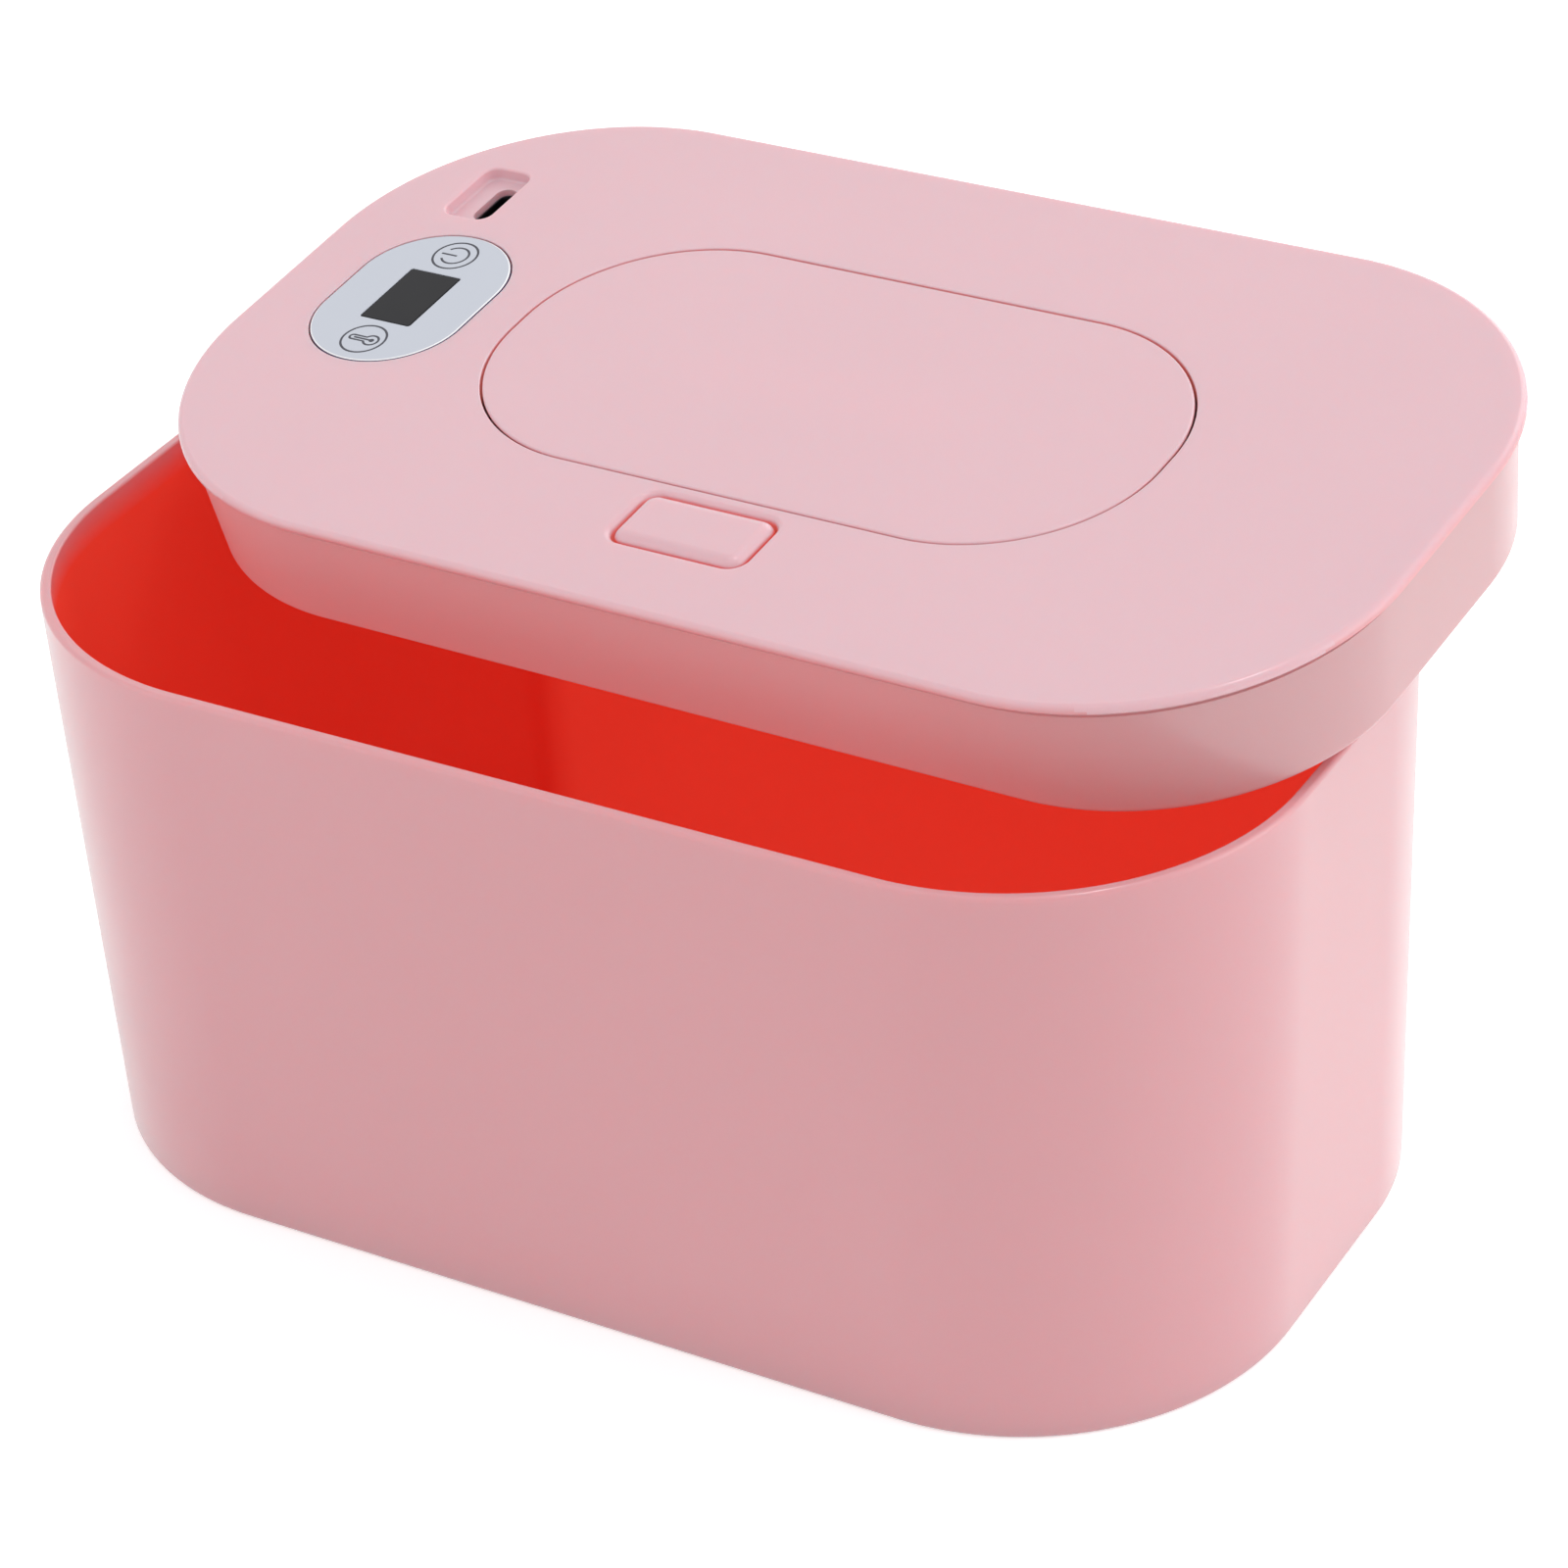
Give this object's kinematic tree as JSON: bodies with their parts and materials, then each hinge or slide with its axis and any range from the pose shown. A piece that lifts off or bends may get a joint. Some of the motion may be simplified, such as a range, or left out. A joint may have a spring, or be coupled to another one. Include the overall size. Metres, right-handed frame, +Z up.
{
  "type": "baby wipe warmer",
  "caption": "Free-standing tub for wet wipes with a lift-off heated lid, a flip cover over the wipe outlet, a push-button latch and a touch panel.",
  "frame": {"origin": "centre of the tub's flat underside", "axes": "+Z up, +X along the tub's length away from the control panel, +Y towards the back, so the release button is on the -Y side"},
  "size_m": [0.2075, 0.1397, 0.1235],
  "materials": {
    "tub_plastic": "moulded pink plastic, satin, coral red inside",
    "cover_plastic": "moulded pale pink plastic, satin",
    "housing_plastic": "moulded pink plastic, satin",
    "flip_plastic": "moulded pale pink plastic, satin",
    "button_plastic": "moulded pale pink plastic, satin",
    "slider_plastic": "natural white acetal",
    "silicone": "matte silicone rubber",
    "panel_film": "smooth pale grey blue film",
    "display_tint": "smooth dark tinted window",
    "display_block": "plain grey plastic block",
    "circuit_board": "green glass fibre laminate",
    "inlet_shell": "dark plated steel",
    "heater_plate": "rolled aluminium sheet",
    "heater_film": "amber film heater",
    "pad_foam": "soft foam",
    "sensor_bead": "black epoxy bead",
    "fuse_case": "plated case",
    "lead_sleeve": "grey sleeve",
    "key_spring": "copper plated spring wire",
    "spring_wire": "spring steel wire",
    "steel": "plated steel"
  },
  "bodies": {
    "tub": {"tub": "tub_plastic"},
    "lid": {"top_cover": "cover_plastic", "lower_housing": "housing_plastic", "outlet_gasket": "silicone", "hinge_pin": "steel", "hinge_spring": "spring_wire", "button_spring_left": "spring_wire", "button_spring_right": "spring_wire", "latch_spring": "spring_wire", "panel_overlay": "panel_film", "display_window": "display_tint", "display_module": "display_block", "touch_spring_power": "key_spring", "touch_spring_temperature": "key_spring", "control_board": "circuit_board", "usb_receptacle": "inlet_shell", "heating_plate": "heater_plate", "heating_film": "heater_film", "insulation_pad": "pad_foam", "temperature_sensor": "sensor_bead", "thermal_fuse": "fuse_case", "wiring_harness": "lead_sleeve", "housing_screw_1": "steel", "housing_screw_2": "steel", "housing_screw_3": "steel", "housing_screw_4": "steel", "housing_screw_5": "steel", "housing_screw_6": "steel", "board_screw_1": "steel", "board_screw_2": "steel", "board_screw_3": "steel"},
    "flip": {"flip_cover": "flip_plastic", "flip_cover_seal": "silicone"},
    "button": {"release_button": "button_plastic"},
    "latch": {"latch_slider": "slider_plastic"}
  },
  "joints": [
    {"name": "lid_lift", "type": "slide", "parent": "tub", "child": "lid", "axis": [0, 0, 1], "range_m": [0, 0.06]},
    {"name": "flip_cover_hinge", "type": "hinge", "parent": "lid", "child": "flip", "pos_m": [0.00966, 0.05676, 0.11503], "axis": [-0.9977, 0.0581, -0.0344], "range_deg": [0, 95]},
    {"name": "button_press", "type": "slide", "parent": "lid", "child": "button", "axis": [0.0408, 0.1131, -0.9927], "range_m": [0, 0.002], "stiffness_N_per_m": 300},
    {"name": "latch_slide", "type": "slide", "parent": "lid", "child": "latch", "axis": [-0.0537, -0.9919, -0.1152], "range_m": [0, 0.002], "stiffness_N_per_m": 100}
  ],
  "couplings": [
    {"joint": "latch_slide", "follows": "button_press", "ratio": 1}
  ]
}
